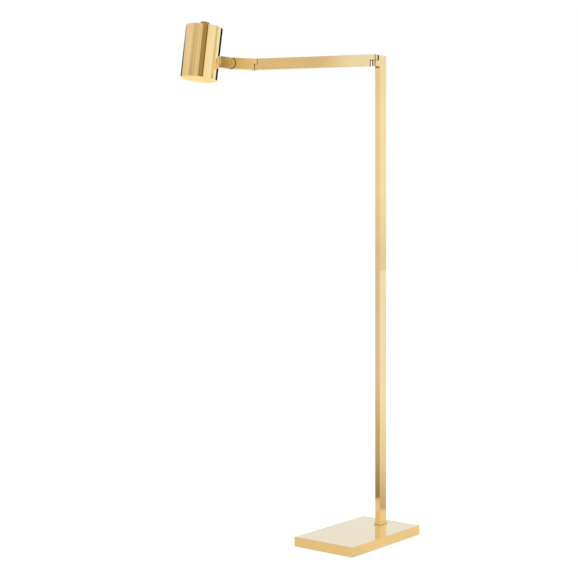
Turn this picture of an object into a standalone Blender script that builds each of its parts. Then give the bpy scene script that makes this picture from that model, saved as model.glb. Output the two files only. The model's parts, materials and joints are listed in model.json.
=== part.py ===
"""Adjustable arm floor lamp: weighted slab base, bar column, two flat-bar arms and a tilting cylinder head.

Units are metres, +Z is up. The origin is the centre of the underside of the base, +Y runs along the base's
long side towards the column, and the arms leave the column towards -Y when they are straight.
"""

import math

import bmesh
import bpy
from mathutils import Matrix, Vector

# ---------------------------------------------------------------- clearances
GAP = 0.0003  # between faces that touch on the real object
PIN_CLEARANCE = 0.0003  # radial, round a screw, pin, stud or shaft
SLIP = 0.0005  # round a piece dropped loosely into another

# ---------------------------------------------------------------- base
BASE_LENGTH = 0.305
BASE_WIDTH = 0.180
BASE_HEIGHT = 0.025
BASE_WALL = 0.0015
PAD_THICKNESS = 0.003
PAD_INSET = 0.005
SHELL_LIFT = 0.001  # the shell's lower edge stays this far off the floor
COLUMN_OFFSET = 0.103  # column axis from the centre of the base, along +Y

# ---------------------------------------------------------------- bars: one section for column, arm and link
BAR_HEIGHT = 0.030
BAR_THICKNESS = 0.015
BAR_WALL = 0.0015
COLUMN_TOP = 1.264
ARM_LENGTH = 0.3235  # column hinge to elbow hinge
LINK_LENGTH = 0.0735  # elbow hinge to tilt hinge
FITTING_LENGTH = 0.024  # hinge axis to the end of the tube that the fitting closes
LINK_FITTING_LENGTH = 0.020
SPIGOT_LENGTH = 0.018
LINK_SPIGOT_SHARE = 0.3125  # of the link tube, at each end

# ---------------------------------------------------------------- foot of the column
COLLAR_MARGIN = 0.0022
COLLAR_HEIGHT = 0.0055
PLUG_HEIGHT = 0.035
FOOT_BOLT_RADIUS = 0.004
FOOT_BOLT_HEAD_RADIUS = 0.0065
FOOT_BOLT_HEAD_HEIGHT = 0.006
FOOT_BOLT_GRIP = 0.025  # length of shank inside the plug
FOOT_SOCKET_SHARE = 0.7  # of the bolt's radius
FOOT_WASHER_RADIUS = 0.012
FOOT_WASHER_THICKNESS = 0.002
FLEX_RADIUS = 0.0022
FLEX_HOLE_RADIUS = 0.0027
CHANNEL_WIDTH = 0.012
CHANNEL_DEPTH = 0.010
BUSHING_RADIUS = 0.0045
BUSHING_FLANGE_RADIUS = 0.0055
BUSHING_FLANGE = 0.0015
BUSHING_BORE = 0.0030

# ---------------------------------------------------------------- hinges
STUB_REACH = 0.012  # column's narrow face to the hinge axis
STUB_SHOULDER = 0.0075  # hinge axis to the corners of the concave shoulder, along the bar
ARM_SHOULDER = 0.0122
ELBOW_SHOULDER = 0.0066
TILT_SHOULDER = 0.0080
FRICTION_WASHER = 0.0008
HINGE_SCREW_RADIUS = 0.0025
HINGE_HEAD_RADIUS = 0.0050
HINGE_HEAD_HEIGHT = 0.0022
HINGE_NUT_FLATS = 0.008
SPRING_WASHER_THICKNESS = 0.0008
SPRING_WASHER_RADIUS = 0.0045
NUT_HEIGHT = 0.0040
TILT_NUT_HEIGHT = 0.0022
END_RECESS = 0.0004  # screw heads and ends stay this far below the surface
GRUB_RADIUS = 0.002
GRUB_LENGTH = 0.006
GRUB_SOCKET_RADIUS = 0.001
GRUB_SOCKET_SHARE = 1 / 3  # of the grub screw's length
HINGE_SOCKET_RADIUS = 0.002
STUB_SCREW_SHARES = (0.25, 0.75)  # of the stub's height, down from its top

# ---------------------------------------------------------------- pose at rest, degrees
ARM_HEADING = -64.2  # turn of the arm from straight out of the column
LINK_HEADING = 28.7  # turn of the link from straight on from the arm
HEAD_TILT = -6.4  # negative leans the top of the head back towards the column

# ---------------------------------------------------------------- head
NECK_LENGTH = 0.025  # tilt hinge to the boss
SHADE_RADIUS = 0.049
SHADE_WALL = 0.0012
SHADE_LENGTH = 0.140
SHADE_ABOVE_NECK = 0.0854  # neck line to the top of the head
BOSS_RADIUS = 0.014
BOSS_THICKNESS = 0.003
NIPPLE_RADIUS = 0.005
NIPPLE_BORE = 0.0035
NIPPLE_BACKING = 0.001  # solid left between the nipple and the concave shoulder
NIPPLE_IN_HEAD = 0.008
NECK_NUT_HEIGHT = 0.003
NECK_NUT_FLATS = 0.014
NECK_WASHER_RADIUS = 0.009
NECK_WASHER_THICKNESS = 0.001
KNOB_RADIUS = 0.01175
KNOB_HEIGHT = 0.013
KNOB_HOLLOW_RADIUS = 0.0085
KNOB_HOLLOW_DEPTH = 0.004
KNOB_ROOF = 0.003
KNOB_LIFT = 0.0006
KNOB_EDGE = 0.0013
SHAFT_RADIUS = 0.003
BUSH_RADIUS = 0.0047
BUSH_RISE = 0.0035  # the switch's threaded neck above the top of the head
SWITCH_NUT_HEIGHT = 0.002
SWITCH_NUT_FLATS = 0.013
SWITCH_RADIUS = 0.011
SWITCH_HEIGHT = 0.016
BRACKET_THICKNESS = 0.0012
BRACKET_WIDTH = 0.012
HOLDER_GRIP = 0.0105  # how far the bracket reaches down the lamp holder
HOLDER_SCREW_DROP = 0.0065  # top of the lamp holder to its screws
HOLDER_RADIUS = 0.017
HOLDER_LENGTH = 0.038
HOLDER_BELOW_SWITCH = 0.004
HOLDER_CAVITY_RADIUS = 0.0136
HOLDER_CAVITY_DEPTH = 0.025
BULB_CAP_RADIUS = 0.013
BULB_CAP_LENGTH = 0.022
GLOBE_RADIUS = 0.024
GLOBE_LENGTH = 0.048
GLOBE_NECK_RADIUS = 0.0135
GLOBE_NECK_STEPS = 5
GLOBE_STEPS = 6

ROUND = 24  # sides of small round pieces
LARGE_ROUND = 64  # sides of the head
FLEX_SIDES = 10
TONGUE_STEPS = 16  # of the half circle at the end of a tongue
SMOOTH_ANGLE = 30  # degrees; edges flatter than this are shaded smooth

# ---------------------------------------------------------------- sizes worked out from the ones above
ARM_MIDDLE = COLUMN_TOP - BAR_HEIGHT / 2
TUBE_INSET = BAR_WALL + GAP  # what a spigot loses all round to enter a tube
HINGE_Y = COLUMN_OFFSET - BAR_HEIGHT / 2 - STUB_REACH
HINGE_SPLIT = FRICTION_WASHER + 2 * GAP  # gap between the two tongues of a hinge
STUB_SWING_RADIUS = math.hypot(BAR_THICKNESS / 2, STUB_SHOULDER)
ARM_SWING_RADIUS = math.hypot(BAR_THICKNESS / 2, ARM_SHOULDER)
ELBOW_SWING_RADIUS = math.hypot(BAR_THICKNESS / 2, ELBOW_SHOULDER)
TILT_SWING_RADIUS = math.hypot(BAR_HEIGHT / 2, TILT_SHOULDER)
NOTCH_WIDTH = BAR_THICKNESS - 2 * BAR_WALL - 2 * SLIP  # slot in the column's front wall for the stub's neck
LINK_SPIGOT_LENGTH = LINK_SPIGOT_SHARE * (LINK_LENGTH - LINK_FITTING_LENGTH - FITTING_LENGTH)
FOOT_HOLE_RADIUS = FOOT_BOLT_RADIUS + PIN_CLEARANCE
FLEX_OFFSET = (FOOT_HOLE_RADIUS + BAR_HEIGHT / 2 - TUBE_INSET) / 2  # beside the foot bolt, along +Y
HEAD_REACH = NECK_LENGTH + BOSS_THICKNESS + SHADE_RADIUS  # tilt hinge to the head's own axis
NIPPLE_IN_NECK = NECK_LENGTH - TILT_SWING_RADIUS - NIPPLE_BACKING
SHADE_TOP = SHADE_ABOVE_NECK
SHADE_BOTTOM = SHADE_ABOVE_NECK - SHADE_LENGTH


# ================================================================ helpers
def clear_scene():
    for old in list(bpy.data.objects):
        bpy.data.objects.remove(old, do_unlink=True)


def metal(name, colour, roughness, metallic=1.0):
    """A Principled material of one colour."""
    material = bpy.data.materials.new(name)
    material.use_nodes = True
    shader = material.node_tree.nodes["Principled BSDF"]
    shader.inputs["Base Color"].default_value = (*colour, 1.0)
    shader.inputs["Roughness"].default_value = roughness
    shader.inputs["Metallic"].default_value = metallic
    material.diffuse_color = (*colour, 1.0)
    return material


def plastic(name, colour, roughness):
    return metal(name, colour, roughness, metallic=0.0)


def frame(name, location, turn=0.0, axis="Z", parent=None):
    """An empty that other pieces are placed from, turned by some degrees about one of its axes."""
    empty = bpy.data.objects.new(name, None)
    bpy.context.scene.collection.objects.link(empty)
    empty.parent = parent
    empty.location = location
    empty.rotation_mode = "QUATERNION"
    empty.rotation_quaternion = Matrix.Rotation(math.radians(turn), 3, axis).to_quaternion()
    return empty


def add_object(name, mesh_data, parent=None, material=None, location=(0, 0, 0)):
    """Turns a bmesh into an object in the scene."""
    bmesh.ops.recalc_face_normals(mesh_data, faces=mesh_data.faces[:])
    mesh = bpy.data.meshes.new(name)
    mesh_data.to_mesh(mesh)
    mesh_data.free()
    piece = bpy.data.objects.new(name, mesh)
    bpy.context.scene.collection.objects.link(piece)
    piece.parent = parent
    piece.location = location
    if material:
        mesh.materials.append(material)
        mesh.shade_smooth()
        mesh.set_sharp_from_angle(angle=math.radians(SMOOTH_ANGLE))
    return piece


def point_along(axis, across, along, height):
    """A point from its two coordinates across an axis and the one along it."""
    return {"X": (along, across, height), "Y": (across, along, height), "Z": (across, height, along)}[axis]


def block(low, high):
    """A rectangular block between two corners."""
    mesh = bmesh.new()
    size = Vector(high) - Vector(low)
    middle = (Vector(high) + Vector(low)) / 2
    matrix = Matrix.Translation(middle) @ Matrix.Diagonal((*size, 1))
    bmesh.ops.create_cube(mesh, size=1.0, matrix=matrix)
    return mesh


def turned(profile, sides=ROUND, axis="Z", centre=(0, 0, 0), start=0.0):
    """A solid of revolution. The profile is a list of (radius, height) and closes on itself."""
    mesh = bmesh.new()
    rings = []
    for radius, height in profile:
        if radius == 0:
            rings.append([mesh.verts.new(Vector(centre) + Vector(point_along(axis, 0, height, 0)))])
            continue
        ring = []
        for step in range(sides):
            angle = start + 2 * math.pi * step / sides
            across = radius * math.cos(angle)
            up = radius * math.sin(angle)
            ring.append(mesh.verts.new(Vector(centre) + Vector(point_along(axis, across, height, up))))
        rings.append(ring)
    for first, second in zip(rings, rings[1:] + rings[:1]):
        for step in range(sides):
            corners = [first[step % len(first)], first[(step + 1) % len(first)]]
            corners += [second[(step + 1) % len(second)], second[step % len(second)]]
            corners = list(dict.fromkeys(corners))
            if len(corners) > 2:
                mesh.faces.new(corners)
    return mesh


def rod(radius, low, high, sides=ROUND, axis="Z", centre=(0, 0, 0), start=0.0):
    return turned([(0, low), (radius, low), (radius, high), (0, high)], sides, axis, centre, start)


def ring(inner, outer, low, high, sides=ROUND, axis="Z", centre=(0, 0, 0)):
    return turned([(inner, low), (outer, low), (outer, high), (inner, high)], sides, axis, centre)


def slab(outline, low, high):
    """An outline in X and Y, extruded along Z."""
    mesh = bmesh.new()
    face = mesh.faces.new([mesh.verts.new((x, y, low)) for x, y in outline])
    grown = bmesh.ops.extrude_face_region(mesh, geom=[face])
    lifted = [item for item in grown["geom"] if isinstance(item, bmesh.types.BMVert)]
    bmesh.ops.translate(mesh, verts=lifted, vec=(0, 0, high - low))
    return mesh


def arc(radius, first, last, steps):
    """Points on a circle about the origin, between two angles in degrees."""
    turns = [math.radians(first + (last - first) * step / steps) for step in range(steps + 1)]
    return [(radius * math.cos(turn), radius * math.sin(turn)) for turn in turns]


def cut(piece, mesh_data):
    """Cuts a shape, given in the piece's own coordinates, out of the piece."""
    count = len(piece.modifiers) + 1
    cutter = add_object(f"{piece.name}_cutter_{count}", mesh_data, parent=piece.parent)
    cutter.location = piece.location
    cutter.hide_render = True
    cutter.display_type = "WIRE"
    modifier = piece.modifiers.new(f"cut_{count}", "BOOLEAN")
    modifier.operation = "DIFFERENCE"
    modifier.solver = "EXACT"
    modifier.object = cutter


def hexagon(flats):
    """The corner radius of a hexagon from its width across flats."""
    return flats / 2 / math.cos(math.pi / 6)


# ================================================================ hinge pieces
def tongue_outline(half_width, length):
    """Plan of a bar whose end is rounded about the hinge axis, at the origin."""
    return arc(half_width, 90, 270, TONGUE_STEPS) + [(length, -half_width), (length, half_width)]


def knuckle(name, place, material, half_width, depth, side, swing_radius, outline):
    """One half of a lapped hinge. Side is +1 where its tongue is the upper one, and -1 for the lower.

    One stepped cutter about the hinge axis makes the other tongue's swing, the screw's hole and the seat of
    its head or nut.
    """
    piece = add_object(name, slab(outline, -depth / 2, depth / 2), place, material)
    beyond = side * (depth / 2 + GAP)
    lap = side * HINGE_SPLIT / 2
    seat_depth = head_seat_depth() if side > 0 else nut_seat_depth(nut_height_for(depth))
    seat = side * (depth / 2 - seat_depth)
    seat_radius = SLIP + (HINGE_HEAD_RADIUS if side > 0 else hexagon(HINGE_NUT_FLATS))
    hole = HINGE_SCREW_RADIUS + PIN_CLEARANCE
    steps = [(0, -beyond), (swing_radius, -beyond), (swing_radius, lap), (hole, lap)]
    steps += [(hole, seat), (seat_radius, seat), (seat_radius, beyond), (0, beyond)]
    cut(piece, turned(steps, 2 * ROUND))
    return piece


def nut_height_for(depth):
    return NUT_HEIGHT if depth > BAR_THICKNESS else TILT_NUT_HEIGHT


def head_seat_depth():
    return END_RECESS + HINGE_HEAD_HEIGHT + GAP


def nut_seat_depth(nut_height):
    return 2 * END_RECESS + nut_height + SPRING_WASHER_THICKNESS + 2 * GAP


def add_spigot(piece, length, inset):
    """Draws the end face of a fitting out into the spigot that enters a tube."""
    mesh = bmesh.new()
    mesh.from_mesh(piece.data)
    end = max(mesh.faces, key=lambda face: face.normal.x * 10 + face.calc_center_median().x)
    bmesh.ops.inset_region(mesh, faces=[end], thickness=inset, use_even_offset=True)
    grown = bmesh.ops.extrude_face_region(mesh, geom=[end])
    moved = [item for item in grown["geom"] if isinstance(item, bmesh.types.BMVert)]
    bmesh.ops.translate(mesh, verts=moved, vec=(length, 0, 0))
    bmesh.ops.delete(mesh, geom=[end], context="FACES_ONLY")
    bmesh.ops.recalc_face_normals(mesh, faces=mesh.faces[:])
    mesh.to_mesh(piece.data)
    mesh.free()


def hinge_hardware(prefix, place, depth, brass, steel, bronze):
    """The screw, friction washer, spring washer and nut of one hinge, about Z of its frame."""
    nut_height = nut_height_for(depth)
    top = depth / 2 - END_RECESS
    under_head = top - HINGE_HEAD_HEIGHT
    bottom = -depth / 2 + END_RECESS
    seat = -depth / 2 + nut_seat_depth(nut_height)
    washer_top = seat - GAP
    washer_bottom = washer_top - SPRING_WASHER_THICKNESS
    nut_top = washer_bottom - GAP
    hole = HINGE_SCREW_RADIUS + PIN_CLEARANCE
    socket_floor = top - HINGE_HEAD_HEIGHT / 2
    screw = [(0, bottom), (HINGE_SCREW_RADIUS, bottom), (HINGE_SCREW_RADIUS, under_head)]
    screw += [(HINGE_HEAD_RADIUS, under_head), (HINGE_HEAD_RADIUS, top)]
    screw += [(HINGE_SOCKET_RADIUS, top), (HINGE_SOCKET_RADIUS, socket_floor), (0, socket_floor)]
    half_washer = FRICTION_WASHER / 2
    friction = ring(hole, BAR_THICKNESS / 2 - GAP, -half_washer, half_washer)
    spring = ring(hole, SPRING_WASHER_RADIUS, washer_bottom, washer_top)
    add_object(f"{prefix}_screw", turned(screw), place, brass)
    add_object(f"{prefix}_friction_washer", friction, place, bronze)
    add_object(f"{prefix}_spring_washer", spring, place, steel)
    hex_nut(f"{prefix}_nut", place, steel, HINGE_NUT_FLATS, hole, (nut_top - nut_height, nut_top))


def hex_nut(name, place, material, flats, hole, levels, axis="Z", location=(0, 0, 0)):
    low, high = levels
    nut = add_object(name, rod(hexagon(flats), low, high, sides=6, axis=axis), place, material, location)
    cut(nut, rod(hole, low - GAP, high + GAP, axis=axis))
    return nut


def grub_screw(name, place, material, axis, centre, outer, direction, length=GRUB_LENGTH):
    """A headless set screw whose socket faces out along the axis."""
    inner = outer - direction * length
    socket = outer - direction * length * GRUB_SOCKET_SHARE
    profile = [(0, inner), (GRUB_RADIUS, inner), (GRUB_RADIUS, outer)]
    profile += [(GRUB_SOCKET_RADIUS, outer), (GRUB_SOCKET_RADIUS, socket), (0, socket)]
    return add_object(name, turned(profile, axis=axis, centre=centre), place, material)


def grub_hole(axis, centre, outer, direction):
    """The hole a grub screw sits in, open past its outer end."""
    levels = sorted((outer + direction * 2 * END_RECESS, outer - direction * (GRUB_LENGTH + GAP)))
    return rod(GRUB_RADIUS + PIN_CLEARANCE, levels[0], levels[1], axis=axis, centre=centre)


# ================================================================ base
def base_shell(material):
    half_x = BASE_WIDTH / 2
    half_y = BASE_LENGTH / 2
    shell = add_object(
        "base_shell",
        block((-half_x, -half_y, SHELL_LIFT), (half_x, half_y, BASE_HEIGHT)),
        material=material,
    )
    inner_x = half_x - BASE_WALL
    inner_y = half_y - BASE_WALL
    cut(shell, block((-inner_x, -inner_y, -GAP), (inner_x, inner_y, BASE_HEIGHT - BASE_WALL)))
    through = (BASE_HEIGHT - 2 * BASE_WALL, BASE_HEIGHT + BASE_WALL)
    cut(shell, rod(FOOT_HOLE_RADIUS, *through, centre=(0, COLUMN_OFFSET, 0)))
    cut(shell, rod(FLEX_HOLE_RADIUS, *through, centre=(0, COLUMN_OFFSET + FLEX_OFFSET, 0)))
    wall = (half_y - 2 * BASE_WALL, half_y + BASE_WALL)
    cut(shell, rod(BUSHING_RADIUS + GAP, *wall, axis="Y", centre=(0, 0, bushing_height())))
    return shell


def weight_top():
    return BASE_HEIGHT - BASE_WALL - GAP


def weight_bottom():
    return PAD_THICKNESS + GAP


def bushing_height():
    return weight_top() - CHANNEL_DEPTH / 2


def bolt_head_bottom():
    return weight_bottom() + END_RECESS


def base_weight(material):
    half_x = BASE_WIDTH / 2 - BASE_WALL - SLIP
    half_y = BASE_LENGTH / 2 - BASE_WALL - SLIP
    weight = add_object(
        "base_weight",
        block((-half_x, -half_y, weight_bottom()), (half_x, half_y, weight_top())),
        material=material,
    )
    centre = (0, COLUMN_OFFSET, 0)
    seat = bolt_head_bottom() + FOOT_BOLT_HEAD_HEIGHT + FOOT_WASHER_THICKNESS + 2 * GAP
    wide = FOOT_WASHER_RADIUS + SLIP
    narrow = FOOT_HOLE_RADIUS
    stepped = [(0, 0), (wide, 0), (wide, seat), (narrow, seat), (narrow, BASE_HEIGHT), (0, BASE_HEIGHT)]
    cut(weight, turned(stepped, centre=centre))
    channel_start = COLUMN_OFFSET + FLEX_OFFSET - FLEX_HOLE_RADIUS
    low = (-CHANNEL_WIDTH / 2, channel_start, weight_top() - CHANNEL_DEPTH)
    cut(weight, block(low, (CHANNEL_WIDTH / 2, half_y + SLIP, weight_top() + GAP)))
    return weight


def base_pad(material):
    half_x = BASE_WIDTH / 2 - PAD_INSET
    half_y = BASE_LENGTH / 2 - PAD_INSET
    low = (-half_x, -half_y, 0)
    return add_object("base_pad", block(low, (half_x, half_y, PAD_THICKNESS)), material=material)


def cord_bushing(material):
    """The flanged sleeve in the end wall of the base, where the mains flex enters."""
    face = BASE_LENGTH / 2
    profile = [(BUSHING_BORE, face - BASE_WALL - SLIP / 2), (BUSHING_RADIUS, face - BASE_WALL - SLIP / 2)]
    profile += [(BUSHING_RADIUS, face + GAP), (BUSHING_FLANGE_RADIUS, face + GAP)]
    profile += [(BUSHING_FLANGE_RADIUS, face + BUSHING_FLANGE), (BUSHING_BORE, face + BUSHING_FLANGE)]
    mesh = turned(profile, axis="Y", centre=(0, 0, bushing_height()))
    return add_object("cord_bushing", mesh, material=material)


def foot_fasteners(steel):
    centre = (0, COLUMN_OFFSET, 0)
    head_low = bolt_head_bottom()
    head_high = head_low + FOOT_BOLT_HEAD_HEIGHT
    end = BASE_HEIGHT + GAP + FOOT_BOLT_GRIP
    socket = head_low + FOOT_BOLT_HEAD_HEIGHT / 2
    socket_radius = FOOT_BOLT_RADIUS * FOOT_SOCKET_SHARE
    bolt = [(0, socket), (socket_radius, socket), (socket_radius, head_low)]
    bolt += [(FOOT_BOLT_HEAD_RADIUS, head_low), (FOOT_BOLT_HEAD_RADIUS, head_high)]
    bolt += [(FOOT_BOLT_RADIUS, head_high), (FOOT_BOLT_RADIUS, end), (0, end)]
    washer_low = head_high + GAP
    washer_high = washer_low + FOOT_WASHER_THICKNESS
    add_object("foot_bolt", turned(bolt, centre=centre), material=steel)
    washer = ring(FOOT_HOLE_RADIUS, FOOT_WASHER_RADIUS, washer_low, washer_high, centre=centre)
    add_object("foot_washer", washer, material=steel)


# ================================================================ column
def column_collar(material):
    inner_x = BAR_THICKNESS / 2 + GAP
    inner_y = BAR_HEIGHT / 2 + GAP
    low = BASE_HEIGHT + GAP
    high = low + COLLAR_HEIGHT
    outer_x = BAR_THICKNESS / 2 + COLLAR_MARGIN
    outer_y = BAR_HEIGHT / 2 + COLLAR_MARGIN
    centre = (0, COLUMN_OFFSET, 0)
    collar = add_object(
        "column_collar", block((-outer_x, -outer_y, low), (outer_x, outer_y, high)), None, material, centre
    )
    cut(collar, block((-inner_x, -inner_y, low - GAP), (inner_x, inner_y, high + GAP)))
    return collar


def column_tube(material):
    """The upright: a rectangular tube with a slot at the top of its narrow front wall for the stub."""
    half_x = BAR_THICKNESS / 2
    half_y = BAR_HEIGHT / 2
    low = BASE_HEIGHT + GAP
    centre = (0, COLUMN_OFFSET, 0)
    tube = add_object(
        "column_tube", block((-half_x, -half_y, low), (half_x, half_y, COLUMN_TOP)), None, material, centre
    )
    bore_x = half_x - BAR_WALL
    bore_y = half_y - BAR_WALL
    cut(tube, block((-bore_x, -bore_y, low - GAP), (bore_x, bore_y, COLUMN_TOP + GAP)))
    slot_bottom = COLUMN_TOP - BAR_HEIGHT - GAP
    slot = (-NOTCH_WIDTH / 2, -half_y - BAR_WALL, slot_bottom)
    cut(tube, block(slot, (NOTCH_WIDTH / 2, -half_y + 2 * BAR_WALL, COLUMN_TOP + 2 * GAP)))
    for height in stub_screw_heights():
        cut(tube, grub_hole("Y", (0, 0, height), half_y - END_RECESS, 1))
    return tube


def foot_plug(material):
    """The steel block brazed into the foot of the column, tapped for the foot bolt."""
    half_x = BAR_THICKNESS / 2 - TUBE_INSET
    half_y = BAR_HEIGHT / 2 - TUBE_INSET
    low = BASE_HEIGHT + GAP
    centre = (0, COLUMN_OFFSET, 0)
    high = low + PLUG_HEIGHT
    shape = block((-half_x, -half_y, low), (half_x, half_y, high))
    plug = add_object("foot_plug", shape, None, material, centre)
    cut(plug, rod(FOOT_HOLE_RADIUS, low - GAP, low + FOOT_BOLT_GRIP + 2 * GAP))
    cut(plug, rod(FLEX_HOLE_RADIUS, low - GAP, high + GAP, centre=(0, FLEX_OFFSET, 0)))
    return plug


def stub_screw_heights():
    return [COLUMN_TOP - BAR_HEIGHT * share for share in STUB_SCREW_SHARES]


def stub_outline():
    """Plan of the stub: tongue, full-width block outside the tube, neck in its slot, block inside it."""
    outside = STUB_REACH - GAP
    inside = STUB_REACH + BAR_WALL + GAP
    end = STUB_REACH + BAR_HEIGHT - TUBE_INSET
    half = BAR_THICKNESS / 2
    neck = NOTCH_WIDTH / 2 - GAP
    core = half - TUBE_INSET
    upper = [(outside, half), (outside, neck), (inside, neck), (inside, core), (end, core)]
    lower = [(x, -y) for x, y in upper]
    return arc(half, 90, 270, TONGUE_STEPS) + lower + upper[::-1]


def column_stub(place, brass, steel):
    """The hinge fitting in the mouth of the column, which carries the lower tongue."""
    half = BAR_THICKNESS / 2
    stub = knuckle("column_stub", place, brass, half, BAR_HEIGHT, -1, STUB_SWING_RADIUS, stub_outline())
    outer = STUB_REACH + BAR_HEIGHT - END_RECESS
    for name, height in zip(("stub_screw_upper", "stub_screw_lower"), stub_screw_heights()):
        level = height - ARM_MIDDLE
        cut(stub, grub_hole("X", (0, 0, level), outer, 1))
        grub_screw(name, place, steel, "X", (0, 0, level), outer, 1)
    return stub


# ================================================================ arm and link
def bar_tube(name, place, material, start, end, screws):
    """A rectangular tube along X between two fittings, with a grub screw through its top wall into each."""
    half_y = BAR_THICKNESS / 2
    half_z = BAR_HEIGHT / 2
    tube = add_object(name, block((start, -half_y, -half_z), (end, half_y, half_z)), place, material)
    bore_y = half_y - BAR_WALL
    bore_z = half_z - BAR_WALL
    cut(tube, block((start - GAP, -bore_y, -bore_z), (end + GAP, bore_y, bore_z)))
    for along in screws:
        cut(tube, grub_hole("Z", (along, 0, 0), half_z - END_RECESS, 1))
    return tube


def bar_fitting(name, place, material, side, swing_radius, length, spigot):
    """A hinge fitting on the end of a bar: knuckle, shoulder and the spigot that enters the tube."""
    half = BAR_THICKNESS / 2
    outline = tongue_outline(half, length - GAP)
    piece = knuckle(name, place, material, half, BAR_HEIGHT, side, swing_radius, outline)
    add_spigot(piece, spigot, TUBE_INSET)
    cut(piece, grub_hole("Z", (length + spigot / 2, 0, 0), BAR_HEIGHT / 2 - END_RECESS, 1))
    return piece


def arm(place, elbow_back, brass, steel):
    lengths = (FITTING_LENGTH, SPIGOT_LENGTH)
    bar_fitting("arm_column_fitting", place, brass, 1, ARM_SWING_RADIUS, *lengths)
    bar_fitting("arm_elbow_fitting", elbow_back, brass, -1, ELBOW_SWING_RADIUS, *lengths)
    near = FITTING_LENGTH + SPIGOT_LENGTH / 2
    far = ARM_LENGTH - near
    bar_tube("arm_tube", place, brass, FITTING_LENGTH, ARM_LENGTH - FITTING_LENGTH, (near, far))
    top = BAR_HEIGHT / 2 - END_RECESS
    grub_screw("arm_column_grub", place, steel, "Z", (near, 0, 0), top, 1)
    grub_screw("arm_elbow_grub", place, steel, "Z", (far, 0, 0), top, 1)


def tilt_fitting(name, place, material, side, length, spigot):
    """A knuckle whose hinge axis lies across the bar: tongues side by side, as deep as the bar is thick."""
    half = BAR_HEIGHT / 2
    outline = tongue_outline(half, length - GAP)
    piece = knuckle(name, place, material, half, BAR_THICKNESS, side, TILT_SWING_RADIUS, outline)
    if spigot:
        add_spigot(piece, spigot, TUBE_INSET)
    return piece


def link(place, tilt_back, brass, steel):
    spigot = LINK_SPIGOT_LENGTH
    bar_fitting("link_elbow_fitting", place, brass, 1, ELBOW_SWING_RADIUS, LINK_FITTING_LENGTH, spigot)
    tilt_end = tilt_fitting("link_tilt_fitting", tilt_back, brass, -1, FITTING_LENGTH, spigot)
    near = LINK_FITTING_LENGTH + spigot / 2
    far = LINK_LENGTH - FITTING_LENGTH - spigot / 2
    top = BAR_HEIGHT / 2 - END_RECESS
    cut(tilt_end, grub_hole("Y", (LINK_LENGTH - far, 0, 0), top, 1))
    bar_tube("link_tube", place, brass, LINK_FITTING_LENGTH, LINK_LENGTH - FITTING_LENGTH, (near, far))
    grub_screw("link_elbow_grub", place, steel, "Z", (near, 0, 0), top, 1)
    grub_screw("link_tilt_grub", place, steel, "Z", (far, 0, 0), top, 1)


# ================================================================ head
def head_neck(place, brass):
    """The head's half of the tilt hinge, bored at its end for the hollow nipple."""
    neck = tilt_fitting("head_neck", place, brass, 1, NECK_LENGTH, 0)
    depth = NECK_LENGTH - GAP - NIPPLE_IN_NECK
    cut(neck, rod(NIPPLE_RADIUS + PIN_CLEARANCE, depth - GAP, NECK_LENGTH + GAP, axis="X"))
    return neck


def neck_boss(place, brass):
    """The round boss between neck and head, its inner face cut to fit round the cylinder."""
    boss = add_object("neck_boss", boss_disc(), place, brass)
    cut(boss, head_cylinder(SHADE_RADIUS + GAP))
    return boss


def boss_disc():
    inner = NIPPLE_RADIUS + PIN_CLEARANCE
    high = NECK_LENGTH + BOSS_THICKNESS + SHADE_RADIUS - math.sqrt(SHADE_RADIUS**2 - BOSS_RADIUS**2) + SLIP
    return ring(inner, BOSS_RADIUS, NECK_LENGTH, high, sides=2 * ROUND, axis="X")


def head_cylinder(radius):
    return rod(radius, SHADE_BOTTOM - GAP, SHADE_TOP + GAP, sides=LARGE_ROUND, centre=(HEAD_REACH, 0, 0))


def neck_fasteners(place, steel):
    start = NECK_LENGTH - GAP - NIPPLE_IN_NECK
    wall = HEAD_REACH - SHADE_RADIUS + SHADE_WALL
    end = wall + NIPPLE_IN_HEAD
    add_object("neck_nipple", ring(NIPPLE_BORE, NIPPLE_RADIUS, start, end, axis="X"), place, steel)
    hole = NIPPLE_RADIUS + PIN_CLEARANCE
    low = wall + sagitta(NECK_WASHER_RADIUS) + GAP
    washer = ring(hole, NECK_WASHER_RADIUS, low, low + NECK_WASHER_THICKNESS, axis="X")
    add_object("neck_washer", washer, place, steel)
    nut_low = low + NECK_WASHER_THICKNESS + GAP
    levels = (nut_low, nut_low + NECK_NUT_HEIGHT)
    hex_nut("neck_nut", place, steel, NECK_NUT_FLATS, hole, levels, axis="X")


def sagitta(half_chord):
    """How far the inside of the head's wall falls away behind a flat piece of that half width."""
    radius = SHADE_RADIUS - SHADE_WALL
    return radius - math.sqrt(radius**2 - half_chord**2)


def shade(place, brass):
    """The spun cylinder with its closed top."""
    inner = SHADE_RADIUS - SHADE_WALL
    ceiling = SHADE_TOP - SHADE_WALL
    hole = BUSH_RADIUS + GAP
    profile = [(hole, SHADE_TOP), (SHADE_RADIUS, SHADE_TOP), (SHADE_RADIUS, SHADE_BOTTOM)]
    profile += [(inner, SHADE_BOTTOM), (inner, ceiling), (hole, ceiling)]
    piece = add_object("shade", turned(profile, LARGE_ROUND), place, brass, (HEAD_REACH, 0, 0))
    wall = (-SHADE_RADIUS - SHADE_WALL, -inner + 2 * SHADE_WALL)
    cut(piece, rod(NIPPLE_RADIUS + PIN_CLEARANCE, *wall, axis="X"))
    return piece


def bracket_top():
    return SHADE_TOP - SHADE_WALL - GAP


def switch_top():
    return bracket_top() - BRACKET_THICKNESS - GAP


def holder_top():
    return switch_top() - SWITCH_HEIGHT - HOLDER_BELOW_SWITCH


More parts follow.
